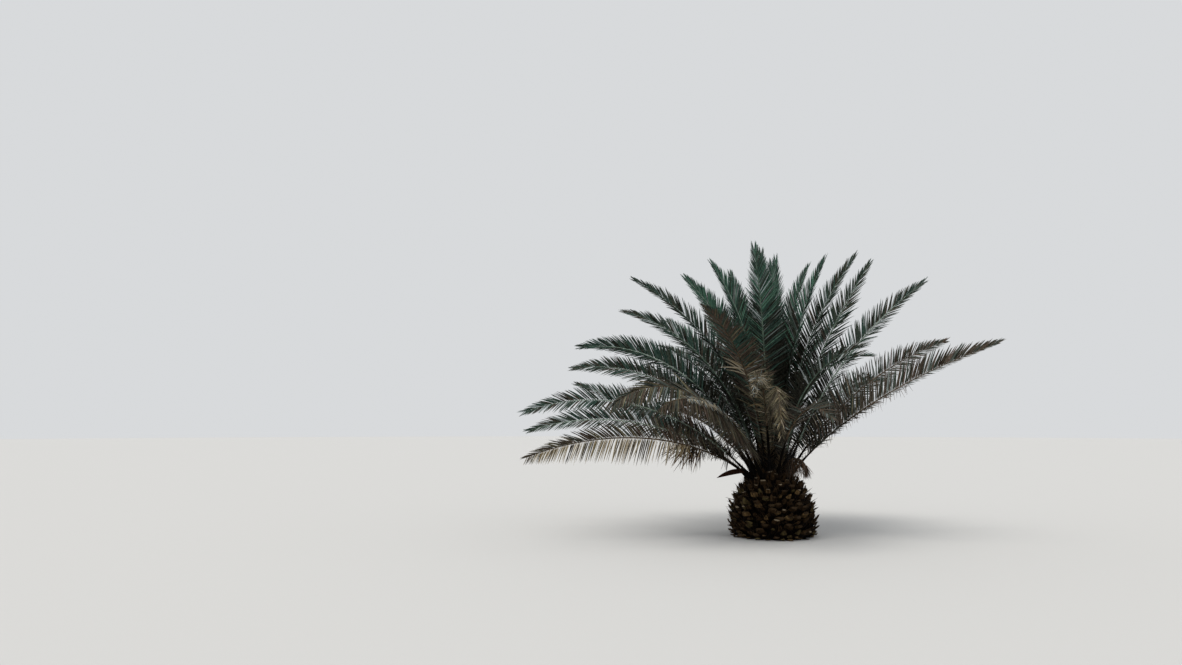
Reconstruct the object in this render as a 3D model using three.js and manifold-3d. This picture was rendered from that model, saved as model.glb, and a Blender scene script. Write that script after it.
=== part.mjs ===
import * as THREE from 'three';
import Module from 'manifold-3d';

// Young date palm: a squat trunk covered with old leaf bases and a round crown of arching feather fronds.
// Millimetres, +Z up, front towards -Y. The trunk's flat cut lies on z = 0 with the axis at the origin.
// Angles are in degrees, directions run counterclockwise from +X.

// trunk: height and radius to the tips of the leaf bases, which stand in spiral rows
const trunkProfile = [
  [0, 484], [120, 492], [240, 495], [320, 480], [420, 450], [530, 405], [600, 350], [650, 300], [684, 262],
];
const neckHeight = 684;
const basesRound = 24;
const baseRows = 14;
const baseDepth = 52;
const baseLift = 20;
const baseUneven = 9;
const rowTurn = 0.22;
const footStep = 20;

// crown seat: the low dome on the trunk that carries the feet of the fronds, the flattest ones furthest out
const seatRadius = 270;
const seatTop = 780;
const seatDrop = 100;
const seatInner = 150;
const flattestRise = 40;
const steepestRise = 92;

// rib of a frond, three-sided, and the blade that starts at a share of its length
const ribWidth = 42;
const ribDepth = 27;
const ribTip = 6;
const petioleShare = 0.12;
const bladeStart = 0.13;
const footSink = 45;
const seatGap = 0.75;
const pathSteps = 160;

// leaflets
const toothPitch = 128;
const leafMax = 350;
const leafPeak = 0.35;
const leafTipShare = 0.33;
const leafFade = 2.2;
const leafShortest = 0.04;
const sweepFoot = 60;
const sweepTip = 16;
const sweepFade = 2.8;
const veeHigh = 32;
const veeLow = 18;
const sag = 0.15;
const stiffer = 0.75;
const tipLeaf = 120;
const trimSteps = [1, 0.75, 0.5, 0.3];
const clearance = 0.5;
const touch = 0.2;

// colours by kind of frond
const colours = { deep: 0x2f4a35, green: 0x43573c, dusty: 0x6d6650, straw: 0x9a8154, brown: 0x4a3422 };
const barkColour = 0x4a3a28;

// name, direction, rise at the foot, length, droop from foot to tip, how late it bends, twist of the blade,
// hang of the leaflets, their size, kind
const seenFronds = [
  ['left1', 188, 44.5, 2830, 65.3, 0.69, -70, 0.30, 0.85, 'straw'],
  ['left2', 172, 43, 2900, 60.6, 0.96, -60, 0.12, 0.90, 'dusty'],
  ['left3', 203, 43, 3135, 62.5, 1.25, -65, 0, 0.85, 'green'],
  ['left4', 150, 40, 2760, 23.5, 0.67, -45, 0, 0.80, 'green'],
  ['left5', 160, 61, 2880, 68.5, 1.21, -65, 0, 0.85, 'green'],
  ['left6', 184, 67, 2800, 74.5, 1.41, -60, 0, 0.90, 'green'],
  ['left7', 170, 77, 2700, 62, 1.40, -60, 0, 0.90, 'green'],
  ['left8', 196, 83, 2880, 58, 1.06, -60, 0, 0.85, 'green'],
  ['left9', 222, 82, 2670, 53, 1.22, 10, 0, 1, 'deep'],
  ['left10', 182, 88, 2615, 32, 1.85, -65, 0, 1, 'deep'],
  ['left11', 142, 85, 2475, 10.4, 1.40, -40, 0, 1, 'deep'],
  ['top1', 238, 88, 2676, 19.5, 2.80, 0, 0, 1.05, 'deep'],
  ['top2', 100, 88, 2685, 0.5, 1.30, 0, 0, 1, 'deep'],
  ['top3', 58, 87, 2640, 5.5, 1.37, 0, 0, 1, 'deep'],
  ['top4', 282, 88, 2480, 0, 1.30, 0, 0, 1.05, 'deep'],
  ['right1', 14, 87, 2560, 24, 2.20, 20, 0, 0.95, 'deep'],
  ['right2', 328, 86, 2595, 23.6, 1.40, 60, 0, 0.95, 'deep'],
  ['right3', 350, 83, 2790, 29.5, 1.31, 55, 0, 0.90, 'green'],
  ['right4', 14, 77, 2930, 22.3, 0.72, 50, 0, 0.90, 'green'],
  ['right5', 355, 69.5, 2900, 33.3, 1.12, 60, 0, 0.95, 'green'],
  ['right6', 325, 78, 1912, 84, 2.13, 30, 0, 0.90, 'dusty'],
  ['right7', 20, 54.5, 3080, 37.4, 0.90, 50, 0, 0.90, 'dusty'],
  ['right8', 348, 57.5, 2890, 38, 0.56, 45, 0, 0.90, 'dusty'],
  ['front1', 227, 56, 2236, 79, 1.40, -30, 0.50, 1, 'dusty'],
  ['front2', 212, 59, 2545, 97.8, 1.59, -40, 0.45, 1, 'dusty'],
  ['front3', 262, 78, 2450, 165, 1.50, 0, 0.70, 0.60, 'straw'],
  ['front4', 253, 72, 2200, 122, 1.85, 0, 0.20, 0.60, 'straw'],
  ['front5', 236, 78, 2507, 61.5, 1.18, -10, 0.10, 1, 'dusty'],
  ['front6', 281, 65, 1800, 96, 1.40, 10, 0.10, 0.9, 'dusty'],
  ['front7', 304, 78, 2050, 74, 1.50, 10, 0, 1, 'green'],
];

// tiers of fronds at the back: rise, length, droop, first direction, step, count, kind
const backTiers = [
  [45, 2800, 56, 50, 25, 4, 'dusty'],
  [56, 2750, 60, 37.5, 25, 5, 'green'],
  [66, 2650, 56, 50, 25, 4, 'green'],
  [76, 2500, 40, 37.5, 25, 5, 'deep'],
];

// how far the back fronds stray from their tier, each by a slow wave of its number: rate, reach
const stray = {
  direction: [1.3, 2],
  rise: [2.4, 2],
  length: [3.1, 0.04],
  droop: [1.9, 6],
  twist: [1.7, 40],
  sway: [2.9, 6],
};

const degrees = Math.PI / 180;
const clamp = (x, low, high) => Math.min(high, Math.max(low, x));
const mix = (a, b, t) => a + (b - a) * t;

function profileRadius(z) {
  for (let k = 1; k < trunkProfile.length; k++) {
    const [z0, r0] = trunkProfile[k - 1];
    const [z1, r1] = trunkProfile[k];
    if (z <= z1) return mix(r0, r1, (z - z0) / (z1 - z0));
  }
  return trunkProfile.at(-1)[1];
}

// height of the crown seat at a distance from the axis, and the distance at which a frond of some rise stands
const seatHeight = (r) => seatTop - seatDrop * (r / seatRadius) ** 2;
const seatReach = (rise) => {
  const flatness = (steepestRise - rise) / (steepestRise - flattestRise);
  return seatRadius * Math.sqrt(clamp(flatness, 0, 1.1));
};

// rows of points, every second one raised to the tip of a leaf base, then the crown seat and the flat cut
function trunkMesh() {
  const n = 2 * basesRound;
  const points = [];
  const faces = [];
  const ringPoint = (angle, r, z) => points.push([r * Math.cos(angle), r * Math.sin(angle), z]);
  for (let j = 0; j <= baseRows; j++) {
    const level = j / baseRows;
    const fade = j === 0 || j === baseRows ? 0 : mix(1, 0.35, level ** 3);
    const z = neckHeight * level;
    for (let i = 0; i < n; i++) {
      const isTip = (i + j) % 2 === 0;
      const uneven = baseUneven * Math.sin(2.3 * i + 1.7 * j) * fade;
      const sunk = (isTip ? 0 : baseDepth * fade) + (j === 0 ? footStep : 0);
      const angle = (2 * Math.PI * (i + rowTurn * j)) / n;
      ringPoint(angle, profileRadius(z) - sunk + uneven, z + (isTip ? baseLift * fade : 0));
    }
  }
  for (let j = 0; j < baseRows; j++) {
    for (let i = 0; i < n; i++) {
      const k = (i + 1) % n;
      const [a, b, c, d] = [j * n + i, j * n + k, (j + 1) * n + k, (j + 1) * n + i];
      if ((i + j) % 2 === 0) faces.push([a, b, d], [b, c, d]);
      else faces.push([a, b, c], [a, c, d]);
    }
  }
  const rim = baseRows * n;
  const inner = points.length;
  for (let i = 0; i < basesRound; i++) {
    ringPoint((2 * Math.PI * (rowTurn * baseRows + 2 * i)) / n, seatInner, seatHeight(seatInner));
  }
  const crest = points.push([0, 0, seatTop]) - 1;
  for (let i = 0; i < basesRound; i++) {
    const k = (i + 1) % basesRound;
    const [a, b, c] = [rim + 2 * i, rim + 2 * i + 1, rim + ((2 * i + 2) % n)];
    faces.push([a, b, inner + i], [b, c, inner + k]);
    faces.push([b, inner + k, inner + i], [inner + i, inner + k, crest]);
  }
  // one wide triangle holds the middle of the cut, a fan fills each of the three segments around it
  const third = n / 3;
  faces.push([0, 2 * third, third]);
  for (let s = 0; s < n; s += third) {
    for (let k = 1; k < third; k++) faces.push([s, (s + k + 1) % n, s + k]);
  }
  return { points, faces };
}

// length of the leaflets along the blade: quickly longer, then slowly shorter towards the tip
function leafLength(u) {
  const grow = clamp(u / leafPeak, leafShortest, 1) ** 0.7;
  const shrink = 1 - (1 - leafTipShare) * clamp((u - leafPeak) / (1 - leafPeak), 0, 1) ** leafFade;
  return leafMax * grow * shrink;
}

// direction of the rib, its side and its upper side at the share s of the length
function ribFrame(f, s) {
  const el = (f.rise - f.droop * s ** f.bend) * degrees;
  const az = (f.direction + f.sway * s ** 1.5) * degrees;
  const roll = f.twist * s * (2 - s) * degrees;
  const t = new THREE.Vector3(Math.cos(el) * Math.cos(az), Math.cos(el) * Math.sin(az), Math.sin(el));
  const side = new THREE.Vector3(-Math.sin(az), Math.cos(az), 0);
  const up = t.clone().cross(side);
  return {
    t,
    side: side.clone().multiplyScalar(Math.cos(roll)).addScaledVector(up, Math.sin(roll)),
    up: up.clone().multiplyScalar(Math.cos(roll)).addScaledVector(side, -Math.sin(roll)),
  };
}

function frondFoot(f) {
  const reach = seatReach(f.rise);
  const az = f.direction * degrees;
  return new THREE.Vector3(reach * Math.cos(az), reach * Math.sin(az), seatHeight(reach));
}

// width of the rib: broad at the foot, half of that where the blade starts, thin at the tip
function ribWide(f, s) {
  return mix(f.width, mix(f.width / 2, ribTip, s), clamp(s / petioleShare, 0, 1) ** 0.6);
}

// added width of a blade with the outline of a lens
const lensWide = (f, s) => f.lens * Math.sin(Math.PI * clamp((s - f.blade) / (1 - f.blade), 0, 1));

// three-sided rib: stations from the foot to the tip, each with its left, right and keel corner
function ribStations(f) {
  const shares = [0, 0.3 * f.blade, 0.65 * f.blade];
  const count = Math.max(3, Math.round((f.length * (1 - f.blade)) / f.pitch));
  for (let k = 0; k <= count; k++) shares.push(mix(f.blade, 1, k / count));
  const p = frondFoot(f).addScaledVector(ribFrame(f, 0).t, -footSink);
  let done = 0;
  return shares.map((s) => {
    for (; done < Math.round(s * pathSteps); done++) {
      p.addScaledVector(ribFrame(f, (done + 0.5) / pathSteps).t, f.length / pathSteps);
    }
    const { t, side, up } = ribFrame(f, s);
    const w = ribWide(f, s) + lensWide(f, s);
    const h = (ribWide(f, s) * ribDepth) / ribWidth;
    const at = (across, above) => p.clone().addScaledVector(side, across * w).addScaledVector(up, above * h);
    return { s, t, corners: [at(0.5, 0.25), at(-0.5, 0.25), at(0, -0.75)] };
  });
}

// tip of the leaflet that stands between two stations, on the left (1) or the right (-1)
function leafTip(f, a, b, hand, high, share) {
  const s = (a.s + b.s) / 2;
  const u = (s - f.blade) / (1 - f.blade);
  const { t, side, up } = ribFrame(f, s);
  const sweep = mix(sweepFoot, sweepTip, u ** sweepFade) * degrees;
  const vee = (high ? veeHigh : veeLow) * degrees;
  const limp = 1 - stiffer * u;
  const dir = t.clone().multiplyScalar(Math.cos(sweep))
    .addScaledVector(side, hand * Math.sin(sweep) * Math.cos(vee))
    .addScaledVector(up, Math.sin(sweep) * Math.sin(vee))
    .multiplyScalar(1 - f.hang * limp);
  dir.z -= f.hang * limp;
  dir.normalize();
  const long = leafLength(u) * f.leaf * share;
  const corner = hand > 0 ? 0 : 1;
  const tip = a.corners[corner].clone().add(b.corners[corner]).multiplyScalar(0.5).addScaledVector(dir, long);
  tip.z -= sag * limp * long;
  return tip;
}

// corners of the side face between two stations, in outward order
function sideFace(a, b, hand) {
  const [from, to] = hand > 0 ? [2, 0] : [1, 2];
  return [a.corners[from], a.corners[to], b.corners[to], b.corners[from]];
}

// whole frond as one surface: the rib with a pointed leaflet drawn out of each side face that has one
function frondMesh(f, teeth) {
  const { stations } = f;
  const points = stations.flatMap((station) => station.corners.map((c) => c.toArray()));
  const faces = [[0, 2, 1]];
  const last = stations.length - 1;
  for (let k = 0; k < last; k++) {
    for (let j = 0; j < 3; j++) {
      const next = (j + 1) % 3;
      const q = [3 * k + j, 3 * k + next, 3 * k + 3 + next, 3 * k + 3 + j];
      const tooth = j > 0 && teeth.get(`${k}:${j === 2 ? 1 : -1}`);
      if (tooth) {
        const apex = points.push(tooth.toArray()) - 1;
        for (let e = 0; e < 4; e++) faces.push([q[e], q[(e + 1) % 4], apex]);
      } else {
        faces.push([q[0], q[1], q[2]], [q[0], q[2], q[3]]);
      }
    }
  }
  const { t, corners } = stations[last];
  const long = tipLeaf * f.leaf;
  const end = corners[0].clone().add(corners[1]).add(corners[2]).divideScalar(3).addScaledVector(t, long);
  end.z -= sag * long;
  const apex = points.push(end.toArray()) - 1;
  for (let j = 0; j < 3; j++) faces.push([3 * last + j, 3 * last + ((j + 1) % 3), apex]);
  return { points, faces };
}

// convex piece with its box, its face normals and its edge directions, for the clearance test
function convexPiece(corners, faces, owner, index) {
  const normals = [];
  const edges = new Map();
  for (const [a, b, c] of faces) {
    const [ab, ac] = [b, c].map((k) => corners[k].clone().sub(corners[a]));
    normals.push(ab.cross(ac).normalize());
    for (const [p, q] of [[a, b], [b, c], [c, a]]) {
      edges.set(`${Math.min(p, q)}:${Math.max(p, q)}`, corners[q].clone().sub(corners[p]).normalize());
    }
  }
  const box = new THREE.Box3().setFromPoints(corners).expandByScalar(clearance);
  return { corners, normals, edges: [...edges.values()], owner, index, box };
}

const toothFaces = [[0, 1, 4], [1, 2, 4], [2, 3, 4], [3, 0, 4], [0, 2, 1], [0, 3, 2]];
const prismFaces = [[0, 2, 1], [3, 4, 5], [0, 1, 4], [0, 4, 3], [1, 2, 5], [1, 5, 4], [2, 0, 3], [2, 3, 5]];

// span of a piece along an axis
function spanAlong(piece, axis) {
  let [low, high] = [Infinity, -Infinity];
  for (const p of piece.corners) {
    const d = p.dot(axis);
    low = Math.min(low, d);
    high = Math.max(high, d);
  }
  return [low, high];
}

function apartAlong(a, b, axis) {
  const [a0, a1] = spanAlong(a, axis);
  const [b0, b1] = spanAlong(b, axis);
  return Math.max(b0 - a1, a0 - b1);
}

// two convex pieces stand clear where one axis shows the full gap between them
function standClear(a, b, gap = clearance) {
  if (!a.box.intersectsBox(b.box)) return true;
  if ([...a.normals, ...b.normals].some((n) => apartAlong(a, b, n) >= gap)) return true;
  const axis = new THREE.Vector3();
  for (const e of a.edges) {
    for (const g of b.edges) {
      axis.crossVectors(e, g);
      if (axis.lengthSq() > 1e-6 && apartAlong(a, b, axis.normalize()) >= gap) return true;
    }
  }
  return false;
}

function describe(row, extra = {}) {
  const [name, direction, rise, length, droop, bend, twist, hang, leaf, kind] = row;
  return {
    name, direction, rise, length, droop, bend, twist, hang, leaf, kind,
    sway: 0, width: ribWidth, blade: bladeStart, pitch: toothPitch, lens: 0, ...extra,
  };
}

function backFronds() {
  const list = [];
  for (const [rise, length, droop, first, step, count, kind] of backTiers) {
    for (let i = 0; i < count; i++) {
      const number = list.length + 1;
      const wave = ([rate, reach]) => reach * Math.sin(rate * number);
      list.push({
        ...describe([`back${number}`, 0, 0, 0, 0, 1.2, 0, 0, 1, kind]),
        direction: first + step * i + wave(stray.direction),
        rise: rise + wave(stray.rise),
        length: length * (1 + wave(stray.length)),
        droop: droop + wave(stray.droop),
        twist: wave(stray.twist),
        sway: wave(stray.sway),
      });
    }
  }
  return list;
}

// closed young leaf in the middle, a withered one under the right side, an old flower sheath at the left
const smallOnes = [
  describe(
    ['spear', 0, 92, 1900, 2, 1, 0, 0, 0.45, 'deep'],
    { width: 30 },
  ),
  describe(
    ['dry_frond', 315, 74, 548, 190, 1.70, 0, 0.5, 0.34, 'brown'],
    { width: 24, pitch: 60, blade: 0.3 },
  ),
  describe(
    ['flower_sheath', 196, 60, 520, 84, 0.45, -90, 0, 0.4, 'brown'],
    { width: 16, pitch: 60, blade: 0.25, lens: 40 },
  ),
];

const wasm = await Module();
wasm.setup();

function solidOf({ points, faces }) {
  return new wasm.Manifold(new wasm.Mesh({
    numProp: 3,
    vertProperties: new Float32Array(points.flat()),
    triVerts: new Uint32Array(faces.flat()),
  }));
}

function meshOf(name, solid, color) {
  const { vertProperties, triVerts } = solid.getMesh();
  const geometry = new THREE.BufferGeometry();
  geometry.setAttribute('position', new THREE.BufferAttribute(vertProperties, 3));
  geometry.setIndex([...triVerts]);
  const finish = new THREE.MeshStandardMaterial({ color, roughness: 0.85, metalness: 0, flatShading: true });
  const mesh = new THREE.Mesh(geometry, finish);
  mesh.name = name;
  return mesh;
}

const palm = new THREE.Group();
palm.name = 'date_palm';
const trunk = solidOf(trunkMesh());
palm.add(meshOf('trunk', trunk, barkColour));

// ribs first, so that every leaflet can be tested against all of them
const fronds = [...seenFronds.map((row) => describe(row)), ...backFronds(), ...smallOnes];
const placed = [];
for (const f of fronds) {
  f.stations = ribStations(f);
  for (let k = 1; k < f.stations.length; k++) {
    const corners = [...f.stations[k - 1].corners, ...f.stations[k].corners];
    placed.push(convexPiece(corners, prismFaces, f.name, k - 1));
  }
}

// a leaflet is shortened, or left out, where it would come too near another frond or its own rib
function growLeaflets(f) {
  const teeth = new Map();
  const own = [];
  const fits = (piece) => placed.every((other) => {
    if (other.owner !== f.name) return standClear(piece, other);
    return Math.abs(other.index - piece.index) < 2 || standClear(piece, other, 0);
  }) && own.every((other) => standClear(piece, other, -touch));
  for (let k = 0; k + 1 < f.stations.length; k++) {
    const [a, b] = [f.stations[k], f.stations[k + 1]];
    for (const hand of a.s < f.blade || f.lens ? [] : [1, -1]) {
      for (const share of trimSteps) {
        const tip = leafTip(f, a, b, hand, k % 2 === 1, share);
        const piece = convexPiece([...sideFace(a, b, hand), tip], toothFaces, f.name, k);
        if (!fits(piece)) continue;
        teeth.set(`${k}:${hand}`, tip);
        own.push(piece);
        break;
      }
    }
  }
  placed.push(...own);
  return teeth;
}

// the foot of each frond is cut to the crown seat with a narrow gap
const seatCutter = trunk.translate([0, 0, seatGap]);
for (const f of fronds) {
  const solid = solidOf(frondMesh(f, growLeaflets(f))).subtract(seatCutter);
  palm.add(meshOf(f.kind === 'brown' ? f.name : `frond_${f.name}`, solid, colours[f.kind]));
}

export default palm;
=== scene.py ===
import math

import bpy
import numpy as np
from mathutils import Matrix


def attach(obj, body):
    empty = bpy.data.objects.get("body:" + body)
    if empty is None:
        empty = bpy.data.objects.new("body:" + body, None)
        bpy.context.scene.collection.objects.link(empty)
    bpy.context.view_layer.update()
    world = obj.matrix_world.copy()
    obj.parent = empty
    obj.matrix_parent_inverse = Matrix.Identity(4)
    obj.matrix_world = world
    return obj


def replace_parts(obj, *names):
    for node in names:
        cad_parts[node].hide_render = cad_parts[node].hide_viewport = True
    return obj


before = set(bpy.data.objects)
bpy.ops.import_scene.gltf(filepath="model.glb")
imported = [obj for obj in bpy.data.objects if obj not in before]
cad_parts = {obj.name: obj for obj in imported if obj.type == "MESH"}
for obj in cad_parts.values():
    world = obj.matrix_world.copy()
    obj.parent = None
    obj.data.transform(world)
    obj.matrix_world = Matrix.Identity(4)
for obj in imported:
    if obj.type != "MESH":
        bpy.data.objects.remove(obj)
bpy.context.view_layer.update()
print("frame loaded:", len(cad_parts), "nodes")


# small helpers

screenPower = 2.2
up = np.array([0.0, 0.0, 1.0])
down = np.array([0.0, 0.0, -1.0])


def mix(a, b, t):
    # a where t is 0, b where t is 1, straight in between
    return a + (b - a) * t


def clamp(x, low=0.0, high=1.0):
    # x held between low and high
    return np.clip(x, low, high)


def unit(vectors):
    # each vector divided by its own length
    return vectors / np.linalg.norm(vectors, axis=-1, keepdims=True)


def evenTurn(count):
    # directions that stand evenly round a circle
    return np.linspace(0, 2 * math.pi, count, endpoint=False)


def outAndAside(turn):
    # level unit vectors at each direction: one outwards, one sideways
    flat = np.zeros_like(turn)
    return np.stack([np.cos(turn), np.sin(turn), flat], -1), np.stack([-np.sin(turn), np.cos(turn), flat], -1)


def rolled(across, over, angle):
    # two vectors turned by the angle in their own plane
    cosine, sine = np.cos(angle)[..., None], np.sin(angle)[..., None]
    return cosine * across + sine * over, cosine * over - sine * across


def linear(code):
    # a screen colour as scene light: each share to the screen's power
    shares = [int(code[k:k + 2], 16) / 255 for k in (1, 3, 5)]
    return tuple(share ** screenPower for share in shares) + (1.0,)


# shader nodes

class Wire:
    # an output socket of a finish; arithmetic on it adds Math nodes, with a number on either side
    def __init__(self, finish, socket):
        self.finish = finish
        self.socket = socket

    def maths(self, operation, *operands):
        # one Math node, its inputs in order
        return self.finish.add("ShaderNodeMath", {"operation": operation}, dict(enumerate(operands)))

    def __add__(self, other):
        return self.maths("ADD", self, other)

    def __mul__(self, other):
        return self.maths("MULTIPLY", self, other)

    __radd__ = __add__
    __rmul__ = __mul__


class Finish:
    # a material with one Principled shader; constants go straight onto the shader's sockets
    def __init__(self, name, **constants):
        self.material = bpy.data.materials.new(name)
        self.material.use_nodes = True
        self.tree = self.material.node_tree
        self.shader = self.tree.nodes["Principled BSDF"]
        for socket, value in constants.items():
            self.shader.inputs[socket.replace("_", " ")].default_value = value

    def add(self, kind, settings=None, values=None, output=0):
        # any node, with its settings and a value or link for each socket
        node = self.tree.nodes.new(kind)
        for setting, value in (settings or {}).items():
            setattr(node, setting, value)
        for socket, value in (values or {}).items():
            if isinstance(value, Wire):
                self.tree.links.new(value.socket, node.inputs[socket])
            else:
                node.inputs[socket].default_value = value
        return Wire(self, node.outputs[output])

    def noise(self, scale, detail, stretch=(1, 1, 1)):
        # noise on Object coordinates, stretched first
        spot = self.add("ShaderNodeTexCoord", output="Object")
        place = self.add("ShaderNodeMapping", values={"Vector": spot, "Scale": stretch})
        return self.add("ShaderNodeTexNoise", values={"Vector": place, "Scale": scale, "Detail": detail})

    def between(self, value, low, high):
        # 0 under low, 1 over high, straight in between
        values = {"Value": value, "From Min": low, "From Max": high}
        return self.add("ShaderNodeMapRange", {"clamp": True}, values)

    def blend(self, share, first, second):
        # a colour between two; on a Mix node the colours are inputs 6 and 7 and output 2
        values = {"Factor": share, 6: first, 7: second}
        return self.add("ShaderNodeMix", {"data_type": "RGBA"}, values, output=2)

    def feed(self, socket, wire):
        # a varying value for a socket of the shader
        self.tree.links.new(wire.socket, self.shader.inputs[socket])

    def relief(self, height, distance, strength=0.6):
        # small bumps on top of the shape, as high as the distance
        values = {"Height": height, "Distance": distance, "Strength": strength}
        self.feed("Normal", self.add("ShaderNodeBump", values=values))


def mottled(name, look, dark, light):
    # a finish and its colour, which turns from dark to light between the ends of a noise; a look's noise
    # holds scale, detail and, where it isn't even, stretch
    finish = Finish(name, Roughness=look["roughness"], Specular_IOR_Level=look["specular"])
    patch = finish.between(finish.noise(*look["noise"]), *look["ends"])
    return finish, finish.blend(patch, dark, light)


# meshes from whole arrays

def closedTubes(rings, start, end):
    # many tubes at once: rings holds tube, level, corner, xyz; each end closes in a fan round its own point
    count, levels, around, _ = rings.shape
    body = rings.reshape(count, levels * around, 3)
    points = np.concatenate([start[:, None], body, end[:, None]], 1)
    corner = np.arange(around)
    after = (corner + 1) % around
    lower = np.arange(levels - 1)[:, None] * around + 1
    upper = lower + around
    quads = np.stack([lower + corner, lower + after, upper + after, upper + corner], -1)
    last = levels * around + 1
    fans = np.concatenate([
        np.stack([np.zeros_like(corner), after + 1, corner + 1], -1),
        np.stack([corner + last - around, after + last - around, np.full_like(corner, last)], -1),
    ])
    offset = np.arange(count)[:, None, None] * (last + 1)
    quads = (quads.reshape(-1, 4) + offset).reshape(-1, 4)
    return points.reshape(-1, 3), [quads, (fans + offset).reshape(-1, 3)]


def carried(line, side, over, across, above):
    # a section carried along a line: each place, plus its part sideways and its part upwards
    return line[..., None, :] + side[..., None, :] * across[..., None] + over[..., None, :] * above[..., None]


def circleRound(across, over, corners):
    # corners of a unit circle in the plane of two vectors
    turn = evenTurn(corners)[:, None]
    return across[..., None, :] * np.cos(turn) + over[..., None, :] * np.sin(turn)


def placed(name, data):
    # a new object in the scene
    thing = bpy.data.objects.new(name, data)
    bpy.context.scene.collection.objects.link(thing)
    return thing


def makePiece(name, parts, finish, smooth=False):
    # joins parts, each points and lists of faces, into one object on the palm, held above the ground
    corners, sizes, points = [], [], []
    total = 0
    for partPoints, faceLists in parts:
        for faces in faceLists:
            corners.append((faces + total).ravel())
            sizes.append(np.full(len(faces), faces.shape[1]))
        points.append(partPoints)
        total += len(partPoints)
    corners, sizes, points = np.concatenate(corners), np.concatenate(sizes), np.concatenate(points)
    points[:, 2] = np.maximum(points[:, 2], 0.0)
    mesh = bpy.data.meshes.new(name)
    mesh.vertices.add(total)
    mesh.vertices.foreach_set("co", points.astype(np.float32).ravel())
    mesh.loops.add(len(corners))
    mesh.loops.foreach_set("vertex_index", corners.astype(np.int32))
    mesh.polygons.add(len(sizes))
    mesh.polygons.foreach_set("loop_start", (np.cumsum(sizes) - sizes).astype(np.int32))
    mesh.polygons.foreach_set("use_smooth", np.full(len(sizes), smooth))
    mesh.materials.append(finish.material)
    mesh.update(calc_edges=True)
    piece = placed(name, mesh)
    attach(piece, "root")
    print("made", name, "with", int((sizes - 2).sum()), "triangles")
    return piece


# camera, lights and floor

studio = dict(
    cameraPlace=(-2.148, -10.3, 1.30), pitch=6.18, lens=26.01,
    floorColour="#c7c7c6", floorRoughness=0.9, floorRadius=90.0, floorCorners=96,
    floorDrop=0.002, skyColour="#dddfe1", skyStrength=0.94, lampDistance=12.0,
    # where the light comes from, how wide the lamp looks in degrees, strength, colour
    lamps=dict(key=((-0.30, -0.22, 1.0), 40.0, 1.75, "#fffaf2")),
)


def makeCamera():
    # looks along +Y, tipped up by the pitch
    data = bpy.data.cameras.new("camera")
    data.lens = studio["lens"]
    camera = placed("camera", data)
    camera.location = studio["cameraPlace"]
    camera.rotation_euler = (math.radians(90 + studio["pitch"]), 0, 0)
    bpy.context.scene.camera = camera


def makeLamp(name, source, width, strength, colour):
    # a sun that looks wide, so that its shadows are soft
    data = bpy.data.lights.new(name, "SUN")
    data.angle = math.radians(width)
    data.energy = strength
    data.color = linear(colour)[:3]
    lamp = placed(name, data)
    lamp.location = np.multiply(source, studio["lampDistance"])
    flat = math.hypot(source[0], source[1])
    lamp.rotation_euler = (math.atan2(flat, source[2]), 0, math.atan2(source[0], -source[1]))


def makeStage():
    # an even pale sky, and a round floor just under the ground
    world = bpy.data.worlds.new("studio")
    world.use_nodes = True
    sky = world.node_tree.nodes["Background"]
    sky.inputs["Color"].default_value = linear(studio["skyColour"])
    sky.inputs["Strength"].default_value = studio["skyStrength"]
    bpy.context.scene.world = world
    paper = Finish("floorPaper", Base_Color=linear(studio["floorColour"]), Roughness=studio["floorRoughness"])
    rim = outAndAside(evenTurn(studio["floorCorners"]))[0] * studio["floorRadius"]
    rim[:, 2] = -studio["floorDrop"]
    mesh = bpy.data.meshes.new("floor")
    mesh.from_pydata(rim.tolist(), [], [list(range(len(rim)))])
    mesh.materials.append(paper.material)
    floor = placed("floor", mesh)


makeCamera()
for lampName, lampFacts in studio["lamps"].items():
    makeLamp(lampName, *lampFacts)
makeStage()
bpy.context.scene.view_settings.view_transform = "Standard"
print("camera, lamps and floor ready")


# the palm's own rule: trunk profile, crown seat and the way of each frond

# heights up to the neck, and the radius at each
trunk = dict(
    heights=[0, 0.12, 0.24, 0.32, 0.42, 0.53, 0.60, 0.65, 0.684],
    radii=[0.484, 0.492, 0.495, 0.480, 0.450, 0.405, 0.350, 0.300, 0.262],
    neckHeight=0.684,
)

# crown seat, the flattest and steepest frond on it, and how far past its rim one may stand
seat = dict(radius=0.270, top=0.780, drop=0.100, flattest=40, steepest=92, furthest=1.1)

frondRule = dict(
    bladeStart=0.13, footSink=0.045, pathSteps=160, swayPower=1.5,
    stalkEnd=0.145, frontShadedStalkEnd=0.28,
    leafMax=0.350, leafPeak=0.35, leafGrow=0.7, leafFade=2.2, leafShortest=0.04,
    leafTipShare=0.31, stiffer=0.75, backBend=1.2, moreEarly=0.30,
)

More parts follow.
